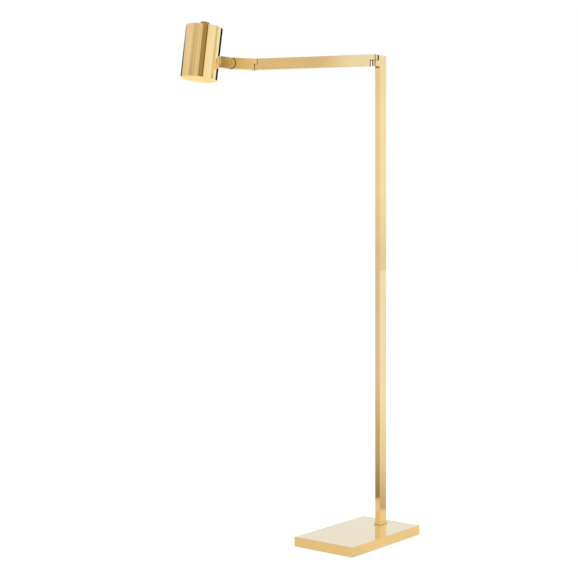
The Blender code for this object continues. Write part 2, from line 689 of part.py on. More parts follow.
def holder_bracket(place, steel):
    """The folded strap under the top of the head that carries the lamp holder."""
    inner = HOLDER_RADIUS + GAP
    outer = inner + BRACKET_THICKNESS
    top = bracket_top()
    half = BRACKET_WIDTH / 2
    low = holder_top() - HOLDER_GRIP
    bracket = add_object(
        "holder_bracket", block((-outer, -half, low), (outer, half, top)), place, steel, (HEAD_REACH, 0, 0)
    )
    cut(bracket, block((-inner, -half - GAP, low - GAP), (inner, half + GAP, top - BRACKET_THICKNESS)))
    cut(bracket, rod(BUSH_RADIUS + GAP, top - 2 * BRACKET_THICKNESS, top + GAP))
    reach = outer + BRACKET_THICKNESS
    screws = (0, 0, holder_screw_level())
    cut(bracket, rod(GRUB_RADIUS + PIN_CLEARANCE, -reach, reach, axis="X", centre=screws))
    return bracket


def holder_screw_level():
    return holder_top() - HOLDER_SCREW_DROP


def rotary_switch(place, plastic_body, steel, centre=(HEAD_REACH, 0, 0)):
    """The switch under the bracket: its threaded neck comes up through the top of the head."""
    top = switch_top()
    bottom = top - SWITCH_HEIGHT
    rise = SHADE_TOP + BUSH_RISE
    bore = SHAFT_RADIUS + PIN_CLEARANCE
    floor = top - SWITCH_HEIGHT / 2
    body = [(0, bottom), (SWITCH_RADIUS, bottom), (SWITCH_RADIUS, top), (BUSH_RADIUS, top)]
    body += [(BUSH_RADIUS, rise), (bore, rise), (bore, floor), (0, floor)]
    add_object("switch_body", turned(body), place, plastic_body, centre)
    low = SHADE_TOP + GAP
    hole = BUSH_RADIUS + GAP
    levels = (low, low + SWITCH_NUT_HEIGHT)
    hex_nut("switch_nut", place, steel, SWITCH_NUT_FLATS, hole, levels, location=centre)


def knob(place, dark_brass, steel):
    """The turned knob and the shaft it is fixed to, about Z of their frame."""
    low = SHADE_TOP + KNOB_LIFT
    high = SHADE_TOP + KNOB_HEIGHT
    shaft_top = high - KNOB_ROOF
    bore = SHAFT_RADIUS + PIN_CLEARANCE
    hollow = low + KNOB_HOLLOW_DEPTH
    profile = [(KNOB_HOLLOW_RADIUS, low), (KNOB_RADIUS, low), (KNOB_RADIUS, high - KNOB_EDGE)]
    profile += [(KNOB_RADIUS - KNOB_EDGE, high), (0, high), (0, shaft_top + GAP)]
    profile += [(bore, shaft_top + GAP), (bore, hollow), (KNOB_HOLLOW_RADIUS, hollow)]
    piece = add_object("switch_knob", turned(profile, 2 * ROUND), place, dark_brass)
    shaft_low = switch_top() - SWITCH_HEIGHT / 2 + GAP
    add_object("switch_shaft", rod(SHAFT_RADIUS, shaft_low, shaft_top), place, steel)
    level = (hollow + shaft_top) / 2
    outer = KNOB_RADIUS - END_RECESS
    inner = bore + GAP
    centre = (0, 0, level)
    cut(piece, rod(GRUB_RADIUS + PIN_CLEARANCE, bore - GAP, KNOB_RADIUS + GAP, axis="X", centre=centre))
    grub_screw("knob_grub", place, steel, "X", centre, outer, 1, outer - inner)


def lamp_holder(place, porcelain, steel):
    top = holder_top()
    bottom = top - HOLDER_LENGTH
    cavity = bottom + HOLDER_CAVITY_DEPTH
    profile = [(0, top), (HOLDER_RADIUS, top), (HOLDER_RADIUS, bottom), (HOLDER_CAVITY_RADIUS, bottom)]
    profile += [(HOLDER_CAVITY_RADIUS, cavity), (0, cavity)]
    holder = add_object("lamp_holder", turned(profile, 2 * ROUND), place, porcelain, (HEAD_REACH, 0, 0))
    level = holder_screw_level()
    outer = HOLDER_RADIUS + GAP + BRACKET_THICKNESS
    for name, direction in (("holder_screw_front", 1), ("holder_screw_back", -1)):
        levels = sorted((direction * (outer + GAP), direction * (outer - GRUB_LENGTH - GAP)))
        cut(holder, rod(GRUB_RADIUS + PIN_CLEARANCE, *levels, axis="X", centre=(0, 0, level)))
        screw = grub_screw(name, place, steel, "X", (0, 0, level), direction * outer, direction)
        screw.location = (HEAD_REACH, 0, 0)


def bulb(place, nickel, glass):
    """A globe lamp: screw cap in the holder, glass below it."""
    mouth = holder_top() - HOLDER_LENGTH
    cap_high = mouth + HOLDER_CAVITY_DEPTH - 2 * SLIP
    cap_low = cap_high - BULB_CAP_LENGTH
    centre = (HEAD_REACH, 0, 0)
    add_object("bulb_cap", rod(BULB_CAP_RADIUS, cap_low, cap_high), place, nickel, centre)
    top = cap_low - GAP
    neck_low = mouth - SLIP
    middle = neck_low - (GLOBE_LENGTH - GLOBE_RADIUS)
    neck_radius = BULB_CAP_RADIUS
    profile = [(0, top), (neck_radius, top), (neck_radius, neck_low)]
    profile += [(GLOBE_NECK_RADIUS, neck_low - SLIP)]
    rise = neck_low - SLIP - middle
    for step in range(1, GLOBE_NECK_STEPS + 1):
        angle = math.pi / 2 * (1 - step / GLOBE_NECK_STEPS)
        swell = GLOBE_NECK_RADIUS + (GLOBE_RADIUS - GLOBE_NECK_RADIUS) * math.cos(angle)
        profile.append((swell, middle + rise * math.sin(angle)))
    for step in range(1, GLOBE_STEPS):
        angle = math.pi / 2 * step / GLOBE_STEPS
        profile.append((GLOBE_RADIUS * math.cos(angle), middle - GLOBE_RADIUS * math.sin(angle)))
    profile.append((0, middle - GLOBE_RADIUS))
    add_object("bulb_globe", turned(profile), place, glass, centre)


# ================================================================ flex inside the bars
def flexes(place_arm, material):
    """The straight runs of flex held inside the column and inside the arm."""
    low = BASE_HEIGHT + GAP + PLUG_HEIGHT / 2
    high = COLUMN_TOP - BAR_HEIGHT - SLIP
    centre = (0, COLUMN_OFFSET + FLEX_OFFSET, 0)
    add_object("column_flex", rod(FLEX_RADIUS, low, high, FLEX_SIDES, centre=centre), material=material)
    start = FITTING_LENGTH + SPIGOT_LENGTH + SLIP
    run = rod(FLEX_RADIUS, start, ARM_LENGTH - start, FLEX_SIDES, "X")
    add_object("arm_flex", run, place_arm, material)


# ================================================================ assembly
def main():
    clear_scene()
    polished = metal("polished_brass", (0.83, 0.62, 0.30), 0.08)
    dark_brass = metal("dark_brass", (0.42, 0.28, 0.12), 0.25)
    steel = metal("zinc_plated_steel", (0.62, 0.62, 0.60), 0.35)
    iron = metal("cast_iron", (0.10, 0.10, 0.10), 0.7)
    bronze = metal("bronze", (0.55, 0.36, 0.18), 0.4)
    nickel = metal("nickel", (0.70, 0.69, 0.66), 0.3)
    felt = plastic("felt", (0.03, 0.03, 0.03), 0.95)
    black = plastic("black_plastic", (0.03, 0.03, 0.03), 0.4)
    porcelain = plastic("porcelain", (0.86, 0.85, 0.82), 0.25)
    glass = plastic("opal_glass", (0.92, 0.90, 0.85), 0.15)

    base_shell(polished)
    base_weight(iron)
    base_pad(felt)
    cord_bushing(black)
    foot_fasteners(steel)
    column_collar(polished)
    column_tube(polished)
    foot_plug(steel)

    column_hinge = frame("column_hinge_axis", (0, HINGE_Y, ARM_MIDDLE))
    stub_frame = frame("stub_frame", (0, 0, 0), 90, "Z", column_hinge)
    column_stub(stub_frame, polished, steel)
    hinge_hardware("column_hinge", column_hinge, BAR_HEIGHT, polished, steel, bronze)

    arm_frame = frame("arm_frame", (0, 0, 0), ARM_HEADING - 90, "Z", column_hinge)
    elbow_axis = frame("elbow_hinge_axis", (ARM_LENGTH, 0, 0), 0, "Z", arm_frame)
    elbow_back = frame("elbow_back_frame", (0, 0, 0), 180, "Z", elbow_axis)
    arm(arm_frame, elbow_back, polished, steel)
    hinge_hardware("elbow_hinge", elbow_axis, BAR_HEIGHT, polished, steel, bronze)

    link_frame = frame("link_frame", (0, 0, 0), LINK_HEADING, "Z", elbow_axis)
    tilt_point = frame("tilt_point", (LINK_LENGTH, 0, 0), 0, "Z", link_frame)
    tilt_axis = frame("tilt_hinge_axis", (0, 0, 0), -90, "X", tilt_point)
    tilt_back = frame("tilt_back_frame", (0, 0, 0), 180, "Z", tilt_axis)
    link(link_frame, tilt_back, polished, steel)
    hinge_hardware("tilt_hinge", tilt_axis, BAR_THICKNESS, polished, steel, bronze)

    head_frame = frame("head_frame", (0, 0, 0), HEAD_TILT, "Y", tilt_point)
    neck_frame = frame("neck_frame", (0, 0, 0), -90, "X", head_frame)
    head_neck(neck_frame, polished)
    neck_boss(head_frame, polished)
    neck_fasteners(head_frame, steel)
    shade(head_frame, polished)
    holder_bracket(head_frame, steel)
    rotary_switch(head_frame, black, steel)
    lamp_holder(head_frame, porcelain, steel)
    bulb(head_frame, nickel, glass)
    knob_axis = frame("knob_axis", (HEAD_REACH, 0, 0), 0, "Z", head_frame)
    knob(knob_axis, dark_brass, steel)
    flexes(arm_frame, black)


main()
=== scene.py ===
"""The looks of the adjustable arm floor lamp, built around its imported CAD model.

Units are metres, +Z is up. Places and sizes come from the CAD joints and nodes. The names below hold what
the CAD model leaves plain: edge radii, clearances, turned detail, finishes, the studio and the camera.
"""

import json
import math

import bmesh
import bpy
from mathutils import Matrix, Vector

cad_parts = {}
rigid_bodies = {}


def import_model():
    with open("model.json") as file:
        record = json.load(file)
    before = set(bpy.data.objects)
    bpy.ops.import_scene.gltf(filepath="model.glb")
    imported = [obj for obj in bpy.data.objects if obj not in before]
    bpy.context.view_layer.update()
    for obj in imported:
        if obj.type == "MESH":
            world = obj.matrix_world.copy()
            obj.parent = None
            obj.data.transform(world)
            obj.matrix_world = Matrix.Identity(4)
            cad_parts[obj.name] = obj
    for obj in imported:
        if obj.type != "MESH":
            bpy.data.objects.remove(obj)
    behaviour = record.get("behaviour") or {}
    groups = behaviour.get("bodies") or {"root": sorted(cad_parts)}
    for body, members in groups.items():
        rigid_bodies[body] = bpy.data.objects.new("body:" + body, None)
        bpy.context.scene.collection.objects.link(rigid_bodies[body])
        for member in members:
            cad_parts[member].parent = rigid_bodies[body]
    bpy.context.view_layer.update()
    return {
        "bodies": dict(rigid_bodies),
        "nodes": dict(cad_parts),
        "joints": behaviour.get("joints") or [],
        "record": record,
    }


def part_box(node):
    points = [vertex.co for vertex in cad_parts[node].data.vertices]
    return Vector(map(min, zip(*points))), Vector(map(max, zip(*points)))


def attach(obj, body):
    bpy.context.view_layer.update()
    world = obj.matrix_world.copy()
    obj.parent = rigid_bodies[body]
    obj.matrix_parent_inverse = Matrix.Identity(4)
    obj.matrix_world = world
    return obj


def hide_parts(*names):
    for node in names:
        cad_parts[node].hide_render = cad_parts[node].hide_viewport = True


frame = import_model()

# ---------------------------------------------------------------- detail the CAD model leaves plain
EDGE = 0.0009  # round of the long edges of bars
LONG_EDGE = 0.006  # edges longer than this get the whole of that round
SHORT_EDGE_SHARE = 0.45  # of that round, on the short edges of fittings
SEAM = 0.00005  # what is left of the gap where a tube closes on its fitting
BASE_EDGE = 0.0007
PAD_EDGE = 0.0008
FINE_EDGE = 0.00025
WASHER_EDGE = 0.0001
RIM_EDGE = 0.0009  # round where the wall of the head turns into its top
WELD_DISTANCE = 0.000002
SHARP_DEGREES = 50  # edges that turn further stay sharp in shading
EASED_DEGREES = 30  # edges that turn further are rounded
GAP = 0.0003
SLIP = 0.0005
CLEARANCE = 0.0003  # radial, round screws and studs
WALL = 0.0015  # of the bars and of the base shell
SHADE_WALL = 0.0012
STUB_SHOULDER = 0.0075  # hinge axis to the corners of a concave shoulder, along the bar
ARM_SHOULDER = 0.0122
ELBOW_SHOULDER = 0.0066
TILT_SHOULDER = 0.0080
SPLIT = 0.0014  # between the two tongues of a hinge
SCREW_HOLE = 0.0025 + CLEARANCE
HEAD_SEAT_RADIUS = 0.0055
HEAD_SEAT_DEPTH = 0.0029
NUT_SEAT_RADIUS = 0.0051188
BAR_NUT_SEAT = 0.0062
TILT_NUT_SEAT = 0.0044
GRUB_HOLE = 0.002 + CLEARANCE
GRUB_LENGTH = 0.006
SCREW_HEAD_HEIGHT = 0.0022
SOCKET_FLATS = 0.0035
SOCKET_DEPTH = 0.0011
FOOT_BOLT_HOLE = 0.004 + CLEARANCE
NIPPLE_HOLE = 0.005 + CLEARANCE
SWITCH_BUSH = 0.005  # radius of the threaded bush that passes through the top of the head
CORD_BORE = 0.0030
BUSHING_FLANGE = 0.0015

END_FACES = 0.12  # least lean along the bar of a face that belongs to its round end
FINE = 96  # sides of round pieces that show
SMALL = 32  # sides of screws and holes
HEAD_SIDES = 256

UP = Vector((0, 0, 1))
Y_WAY = Vector((0, 1, 0))

# ---------------------------------------------------------------- camera
CAMERA_TURN = 38.52  # degrees round from a view along +Y
CAMERA_HEIGHT = 0.750
CAMERA_DISTANCE = 3.080  # level distance to the plane of the origin
CAMERA_ASIDE = 0.1787  # the origin lies this far to the right of the camera's axis
CAMERA_LENS = 74.3
CAMERA_SENSOR = 36.0
CAMERA_SHIFT = -0.0675  # the horizon lies above the middle of the frame


# ================================================================ places
def placed(origin, along, up):
    """A placement whose X runs along one direction and whose Z leans to another."""
    x_axis = Vector(along).normalized()
    y_axis = Vector(up).cross(x_axis).normalized()
    z_axis = x_axis.cross(y_axis)
    turn = Matrix((x_axis, y_axis, z_axis)).transposed().to_4x4()
    return Matrix.Translation(origin) @ turn


def span(node, place):
    """Lowest and highest corner of a CAD node in the coordinates of a placement."""
    inverse = place.inverted()
    points = [inverse @ vertex.co for vertex in frame["nodes"][node].data.vertices]
    low = Vector([min(point[axis] for point in points) for axis in range(3)])
    high = Vector([max(point[axis] for point in points) for axis in range(3)])
    return low, high


def centre_of(node, place):
    low, high = span(node, place)
    return (low + high) / 2


joints = {joint["name"]: joint for joint in frame["joints"]}
column_pin = Vector(joints["column_swing"]["pos_m"])
elbow_pin = Vector(joints["elbow_swing"]["pos_m"])
tilt_pin = Vector(joints["head_tilt"]["pos_m"])
tilt_way = Vector(joints["head_tilt"]["axis"])
knob_pin = Vector(joints["knob_turn"]["pos_m"])
head_up = Vector(joints["knob_turn"]["axis"])
head_way = tilt_way.cross(head_up)

column_low, column_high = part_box("column_tube")
column_foot = Vector(((column_low.x + column_high.x) / 2, (column_low.y + column_high.y) / 2, 0))

world_place = Matrix.Identity(4)
column_place = Matrix.Translation(column_foot)
stub_place = placed(column_pin, Y_WAY, UP)
arm_place = placed(column_pin, elbow_pin - column_pin, UP)
arm_end_place = placed(elbow_pin, column_pin - elbow_pin, UP)
link_place = placed(elbow_pin, tilt_pin - elbow_pin, UP)
link_end_place = placed(tilt_pin, elbow_pin - tilt_pin, tilt_way)
neck_place = placed(tilt_pin, head_way, tilt_way)
head_place = placed(tilt_pin, head_way, head_up)
head_axis_place = placed(knob_pin, head_way, head_up)


# ================================================================ mesh helpers
def block(low, high):
    mesh = bmesh.new()
    size = Vector(high) - Vector(low)
    middle = (Vector(high) + Vector(low)) / 2
    bmesh.ops.create_cube(mesh, size=1.0, matrix=Matrix.Translation(middle) @ Matrix.Diagonal((*size, 1)))
    return mesh


def turned(profile, sides=FINE, axis="Z", centre=(0, 0, 0), start=0.0):
    """A solid of revolution from (radius, height) points, closed on itself or on its axis."""
    mesh = bmesh.new()
    rings = []
    for radius, height in profile:
        count = sides if radius > 0 else 1
        ring = []
        for step in range(count):
            angle = start + 2 * math.pi * step / sides
            across = radius * math.cos(angle)
            rise = radius * math.sin(angle)
            points = {"X": (height, across, rise), "Y": (rise, height, across), "Z": (across, rise, height)}
            ring.append(mesh.verts.new(Vector(centre) + Vector(points[axis])))
        rings.append(ring)
    for first, second in zip(rings, rings[1:] + rings[:1]):
        for step in range(sides):
            corners = [first[step % len(first)], first[(step + 1) % len(first)]]
            corners += [second[(step + 1) % len(second)], second[step % len(second)]]
            corners = list(dict.fromkeys(corners))
            if len(corners) > 2:
                mesh.faces.new(corners)
    return mesh


def rod(radius, low, high, sides=SMALL, axis="Z", centre=(0, 0, 0), start=0.0):
    return turned([(0, low), (radius, low), (radius, high), (0, high)], sides, axis, centre, start)


def slab(outline, low, high):
    """An outline in X and Y, extruded along Z."""
    mesh = bmesh.new()
    face = mesh.faces.new([mesh.verts.new((x, y, low)) for x, y in outline])
    grown = bmesh.ops.extrude_face_region(mesh, geom=[face])
    lifted = [item for item in grown["geom"] if isinstance(item, bmesh.types.BMVert)]
    bmesh.ops.translate(mesh, verts=lifted, vec=(0, 0, high - low))
    return mesh


def arc(radius, first, last, steps):
    turns = [math.radians(first + (last - first) * step / steps) for step in range(steps + 1)]
    return [(radius * math.cos(turn), radius * math.sin(turn)) for turn in turns]


def rounded(centre, radius, first, last, steps=4):
    """Points of a small round in a turned profile, about (radius, height) centre, between two angles."""
    return [(centre[0] + x, centre[1] + y) for x, y in arc(radius, first, last, steps)]


def with_spigot(mesh, length, inset):
    """Draws the end face of a fitting, the one that looks along +X, out into a thinner spigot."""
    mesh.normal_update()
    bmesh.ops.recalc_face_normals(mesh, faces=mesh.faces[:])
    end = max(mesh.faces, key=lambda face: face.normal.x * 10 + face.calc_center_median().x)
    bmesh.ops.inset_region(mesh, faces=[end], thickness=inset, use_even_offset=True)
    grown = bmesh.ops.extrude_face_region(mesh, geom=[end])
    moved = [item for item in grown["geom"] if isinstance(item, bmesh.types.BMVert)]
    bmesh.ops.translate(mesh, verts=moved, vec=(length, 0, 0))
    bmesh.ops.delete(mesh, geom=[end], context="FACES_ONLY")
    return mesh


def as_object(name, mesh_data, place):
    bmesh.ops.recalc_face_normals(mesh_data, faces=mesh_data.faces[:])
    mesh = bpy.data.meshes.new(name)
    mesh_data.to_mesh(mesh)
    mesh_data.free()
    made = bpy.data.objects.new(name, mesh)
    bpy.context.scene.collection.objects.link(made)
    made.matrix_world = place
    return made


def apply_modifiers(made):
    graph = bpy.context.evaluated_depsgraph_get()
    mesh = bpy.data.meshes.new_from_object(made.evaluated_get(graph))
    made.modifiers.clear()
    made.data = mesh


def cut_away(made, cutters):
    """Cuts each shape, given in the piece's own coordinates, out of it."""
    helpers = []
    for number, cutter in enumerate(cutters):
        helper = as_object(f"{made.name}_cutter_{number}", cutter, made.matrix_world.copy())
        modifier = made.modifiers.new(helper.name, "BOOLEAN")
        modifier.operation = "DIFFERENCE"
        modifier.solver = "EXACT"
        modifier.object = helper
        helpers.append(helper)
    bpy.context.view_layer.update()
    apply_modifiers(made)
    for helper in helpers:
        bpy.data.objects.remove(helper, do_unlink=True)


def weigh_edges(made, seams):
    """Marks the edges to round: long ones fully, short ones less, those that close a seam not at all."""
    mesh = bmesh.new()
    mesh.from_mesh(made.data)
    layer = mesh.edges.layers.float.new("bevel_weight_edge")
    for edge in mesh.edges:
        if len(edge.link_faces) != 2 or edge.calc_face_angle() < math.radians(EASED_DEGREES):
            continue
        if any(all(abs(vertex.co.x - level) < SEAM for vertex in edge.verts) for level in seams):
            edge.smooth = False
        else:
            edge[layer] = 1.0 if edge.calc_length() > LONG_EDGE else SHORT_EDGE_SHARE
    mesh.to_mesh(made.data)
    mesh.free()


def ease_edges(made, width, segments=3, seams=()):
    """Rounds every corner of a piece and keeps its flat faces flat in shading."""
    weld = made.modifiers.new("weld", "WELD")
    weld.merge_threshold = WELD_DISTANCE
    bpy.context.view_layer.update()
    apply_modifiers(made)
    if width:
        weigh_edges(made, seams)
        bevel = made.modifiers.new("edges", "BEVEL")
        bevel.width = width
        bevel.segments = segments
        bevel.limit_method = "WEIGHT"
        bevel.use_clamp_overlap = True
    bpy.context.view_layer.update()
    apply_modifiers(made)
    made.data.shade_smooth()
    made.data.set_sharp_from_angle(angle=math.radians(SHARP_DEGREES))
    normals = made.modifiers.new("normals", "WEIGHTED_NORMAL")
    normals.keep_sharp = True
    normals.weight = 100
    bpy.context.view_layer.update()
    apply_modifiers(made)


record_slot = {}
body_of_node = {}
for subpart in frame["record"]["subparts"]:
    record_slot[subpart["node"]] = subpart["material_slot"]
for joint_body, empty in frame["bodies"].items():
    for child in empty.children:
        body_of_node[child.name] = joint_body

finishes = {}


def piece(node, mesh_data, place, cutters=(), edge=EDGE, segments=3, seams=(), inner=None):
    """Builds the detailed piece that stands for a CAD node, with its body and its finish.

    Inner is a second finish and a test of a face, which says whether the face takes it: the painted shade of a
    hinge's recesses, or the inside of the head.
    """
    made = as_object(f"{node}_fine", mesh_data, place)
    if cutters:
        cut_away(made, cutters)
    ease_edges(made, edge, segments, seams)
    made.data.materials.clear()
    made.data.materials.append(finishes[record_slot[node]])
    if inner:
        finish, lies_inside = inner
        made.data.materials.append(finishes[finish])
        for face in made.data.polygons:
            face.material_index = int(lies_inside(face.center, face.normal))
    made.data.transform(made.matrix_world)
    made.matrix_world = Matrix.Identity(4)
    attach(made, body_of_node[node])
    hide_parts(node)
    return made


# ================================================================ finishes
def new_material(name):
    material = bpy.data.materials.new(name)
    material.use_nodes = True
    tree = material.node_tree
    return material, tree, tree.nodes["Principled BSDF"]


def feed(tree, socket, value):
    """Joins a socket to another node's output, or sets it to a number or a colour."""
    if isinstance(value, bpy.types.NodeSocket):
        tree.links.new(value, socket)
    else:
        socket.default_value = (*value, 1.0) if isinstance(value, tuple) else value


def noise_of(tree, scale, detail=3.0, stretch=(1, 1, 1)):
    """Noise over the piece's own coordinates, drawn out along an axis by a stretch below one."""
    coordinates = tree.nodes.new("ShaderNodeTexCoord")
    mapping = tree.nodes.new("ShaderNodeMapping")
    mapping.inputs["Scale"].default_value = stretch
    noise = tree.nodes.new("ShaderNodeTexNoise")
    noise.inputs["Scale"].default_value = scale
    noise.inputs["Detail"].default_value = detail
    tree.links.new(coordinates.outputs["Object"], mapping.inputs["Vector"])
    tree.links.new(mapping.outputs["Vector"], noise.inputs["Vector"])
    return noise.outputs["Fac"]


def ramp_of(tree, factor, stops):
    """Colours or greys by position. A stop is (position, colour), and a number is a grey."""
    ramp = tree.nodes.new("ShaderNodeValToRGB")
    elements = ramp.color_ramp.elements
    while len(elements) < len(stops):
        elements.new(0.5)
    for element, (position, colour) in zip(elements, stops):
        shade = colour if isinstance(colour, tuple) else (colour,) * 3
        element.position = position
        element.color = (*shade, 1.0)
    tree.links.new(factor, ramp.inputs["Fac"])
    return ramp.outputs["Color"]


def patches(tree, scale, low, high, detail=3.0):
    """Two colours or greys that pass into each other in patches."""
    return ramp_of(tree, noise_of(tree, scale, detail), [(0.3, low), (0.7, high)])


def bump_of(tree, height, depth, strength=1.0, below=None):
    bump = tree.nodes.new("ShaderNodeBump")
    bump.inputs["Distance"].default_value = depth
    bump.inputs["Strength"].default_value = strength
    tree.links.new(height, bump.inputs["Height"])
    if below:
        tree.links.new(below, bump.inputs["Normal"])
    return bump.outputs["Normal"]


def set_constants(shader, **values):
    for name, value in values.items():
        shader.inputs[name.replace("_", " ")].default_value = value


def metal(name, light, dark, smooth, rough, waves=0.0, scratches=0.0, coat=0.0, grain=60.0):
    """A metal whose colour, roughness and surface vary over it.

    Light and dark are its two colours, smooth and rough the ends of its roughness. Waves and scratches are
    the depths in metres of its polishing waves and of its fine scratches.
    """
    material, tree, shader = new_material(name)
    set_constants(shader, Metallic=1.0, Coat_Weight=coat, Coat_Roughness=0.03)
    feed(tree, shader.inputs["Base Color"], ramp_of(tree, noise_of(tree, 14.0), [(0.35, dark), (0.6, light)]))
    finish = ramp_of(tree, noise_of(tree, grain, 5.0), [(0.3, smooth), (0.75, rough)])
    feed(tree, shader.inputs["Roughness"], finish)
    normal = None
    if waves:
        normal = bump_of(tree, noise_of(tree, 18.0, 1.0), waves)
    if scratches:
        normal = bump_of(tree, noise_of(tree, 1500.0, 2.0), scratches, 0.5, normal)
    if normal:
        feed(tree, shader.inputs["Normal"], normal)
    return material


def moulded(name, light, dark, smooth, rough, grain, depth, coat=0.0):
    """A plastic, a glaze or a glass: two close colours, uneven gloss and a fine surface."""
    material, tree, shader = new_material(name)
    set_constants(shader, Metallic=0.0, Coat_Weight=coat, Coat_Roughness=0.05)
    feed(tree, shader.inputs["Base Color"], patches(tree, 40.0, dark, light))
    feed(tree, shader.inputs["Roughness"], patches(tree, grain, smooth, rough, 4.0))
    feed(tree, shader.inputs["Normal"], bump_of(tree, noise_of(tree, grain * 4, 2.0), depth))
    return material


def felt_finish():
    """Matted wool: short fibres in two greys, with a soft sheen."""
    material, tree, shader = new_material("felt_fine")
    set_constants(shader, Metallic=0.0, Sheen_Weight=0.6, Sheen_Roughness=0.5)
    fibres = noise_of(tree, 900.0, 6.0, (1.0, 0.25, 1.0))
    feed(tree, shader.inputs["Base Color"], ramp_of(tree, fibres, [(0.3, 0.012), (0.7, 0.05)]))
    feed(tree, shader.inputs["Roughness"], patches(tree, 60.0, 0.85, 1.0))
    feed(tree, shader.inputs["Normal"], bump_of(tree, fibres, 0.0004))
    return material


PAINTED_INNER_GLOW = 0.22  # painted light: a glow that stands for the daylight which the thin shade catches inside


def glowing_satin_inside():
    """The lightly buffed inside of the head: pale brass with soft reflections and a painted glow of light."""
    material, tree, shader = new_material("satin_brass_fine")
    set_constants(shader, Metallic=0.7, Emission_Color=(1.0, 0.80, 0.50, 1.0), Emission_Strength=PAINTED_INNER_GLOW)
    feed(tree, shader.inputs["Base Color"], patches(tree, 20.0, (0.90, 0.74, 0.46), (0.96, 0.82, 0.55)))
    feed(tree, shader.inputs["Roughness"], patches(tree, 90.0, 0.14, 0.22, 4.0))
    return material


# A metal's name, its light and dark colour, the ends of its roughness and its other details.
METALS = (
    ("polished_brass", (0.930, 0.740, 0.460), (0.915, 0.715, 0.430), 0.015, 0.04,
     {"waves": 0.00002, "scratches": 0.0000003, "coat": 0.2}),
    # The next finish is painted shade: near-black brass for the gaps, hollow shoulders and round ends deep in
    # the hinges.
    ("recess_brass", (0.10, 0.06, 0.02), (0.05, 0.03, 0.01), 0.5, 0.75, {}),
    ("dark_brass", (0.42, 0.28, 0.12), (0.30, 0.19, 0.08), 0.2, 0.34, {"scratches": 0.000004}),
    ("plated_steel", (0.66, 0.66, 0.64), (0.52, 0.52, 0.50), 0.25, 0.4, {"scratches": 0.000003}),
    ("cast_iron", (0.12, 0.12, 0.12), (0.05, 0.05, 0.05), 0.6, 0.85, {"waves": 0.0004, "scratches": 0.00004}),
    ("bronze", (0.58, 0.36, 0.17), (0.42, 0.25, 0.11), 0.3, 0.5, {"scratches": 0.000004}),
    ("nickel", (0.70, 0.68, 0.64), (0.60, 0.58, 0.54), 0.2, 0.35, {"scratches": 0.000002}),
)

# The same for what is moulded, with the scale of its grain and the depth of its surface before the details.
MOULDED = (
    ("black_plastic", (0.035, 0.035, 0.035), (0.02, 0.02, 0.02), 0.35, 0.5, 300.0, 0.00003, {}),
    ("porcelain", (0.87, 0.86, 0.82), (0.82, 0.80, 0.75), 0.15, 0.3, 120.0, 0.00002, {"coat": 0.6}),
    ("opal_glass", (0.93, 0.91, 0.86), (0.89, 0.87, 0.82), 0.08, 0.16, 60.0, 0.000005, {"coat": 0.4}),
)


def make_finishes():
    for name, *look, details in METALS:
        finishes[name] = metal(f"{name}_fine", *look, **details)
    for name, *look, details in MOULDED:
        finishes[name] = moulded(f"{name}_fine", *look, **details)
    finishes["satin_brass_painted_glow"] = glowing_satin_inside()
    finishes["felt"] = felt_finish()


# ================================================================ base and column
def build_base():
    low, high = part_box("base_shell")
    inner_low = low + Vector((WALL, WALL, 0))
    inner_high = high - Vector((WALL, WALL, WALL))
    inner_low.z = low.z - GAP
    bushing_low, bushing_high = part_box("cord_bushing")
    bushing = (bushing_low + bushing_high) / 2
    bolt = centre_of("foot_bolt", world_place)
    sleeve_radius = (bushing_high.x - bushing_low.x) / 2 - 2 * SLIP + GAP
    cutters = [
        block(inner_low, inner_high),
        rod(FOOT_BOLT_HOLE, high.z - 2 * WALL, high.z + WALL, centre=(bolt.x, bolt.y, 0)),
        rod(sleeve_radius, high.y - 2 * WALL, high.y + WALL, axis="Y", centre=(bushing.x, 0, bushing.z)),
    ]
    piece("base_shell", block(low, high), world_place, cutters, BASE_EDGE)

    piece("base_pad", block(*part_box("base_pad")), world_place, edge=PAD_EDGE)

    low, high = span("cord_bushing", world_place)
    flange = (high.x - low.x) / 2
    sleeve = flange - 2 * SLIP
    face = high.y - BUSHING_FLANGE + GAP
    centre = ((low.x + high.x) / 2, 0, (low.z + high.z) / 2)
    profile = [(CORD_BORE, low.y), (sleeve, low.y), (sleeve, face)]
    profile += [(flange, face), (flange, high.y), (CORD_BORE, high.y)]
    piece("cord_bushing", turned(profile, axis="Y", centre=centre), world_place, edge=FINE_EDGE)


def build_column():
    low, high = span("column_collar", column_place)
    tube_low, tube_high = span("column_tube", column_place)
    inner = Vector((tube_high.x + GAP, tube_high.y + GAP))
    bore = block((-inner.x, -inner.y, low.z - GAP), (inner.x, inner.y, high.z + GAP))
    piece("column_collar", block(low, high), column_place, [bore])

    stub_bottom = span("column_stub", stub_place)[0].z
    half = tube_high.x
    slot_half = half - WALL - SLIP
    bore_x = tube_high.x - WALL
    bore_y = tube_high.y - WALL
    slot_bottom = column_pin.z + stub_bottom - GAP
    bore = block((-bore_x, -bore_y, tube_low.z - GAP), (bore_x, bore_y, tube_high.z + GAP))
    slot_low = (-slot_half, tube_low.y - WALL, slot_bottom)
    slot = block(slot_low, (slot_half, tube_low.y + 2 * WALL, tube_high.z + 2 * GAP))
    cutters = [bore, slot]
    for screw in ("stub_screw_upper", "stub_screw_lower"):
        level = centre_of(screw, column_place).z
        levels = (tube_high.y - 2 * WALL, tube_high.y + WALL)
        cutters.append(rod(GRUB_HOLE, *levels, axis="Y", centre=(0, 0, level)))
    piece("column_tube", block(tube_low, tube_high), column_place, cutters)


# ================================================================ knuckles and bars
def tongue_outline(half_width, length):
    """Plan of a bar whose end is rounded about the hinge axis."""
    return arc(half_width, 90, 270, FINE // 2) + [(length, -half_width), (length, half_width)]


